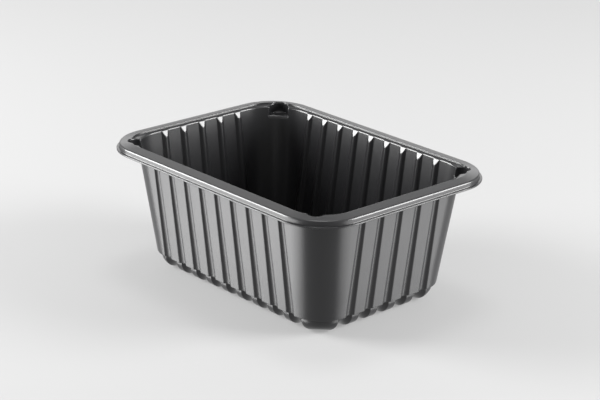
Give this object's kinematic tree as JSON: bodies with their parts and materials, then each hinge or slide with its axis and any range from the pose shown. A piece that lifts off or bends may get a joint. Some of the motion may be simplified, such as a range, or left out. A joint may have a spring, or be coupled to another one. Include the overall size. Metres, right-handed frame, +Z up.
{
  "type": "plastic food tray",
  "caption": "Deep black plastic food tray with ribbed leaning walls, rounded corners, a stacking pocket in each corner and a sloping sealing rim.",
  "frame": {"origin": "middle of the underside of the flat base", "axes": "+Z up out of the open top, X along the long sides, Y along the short sides"},
  "size_m": [0.187, 0.137, 0.075],
  "materials": {
    "tray_plastic": "satin black moulded plastic"
  },
  "bodies": {
    "root": {"tray": "tray_plastic"}
  },
  "joints": []
}
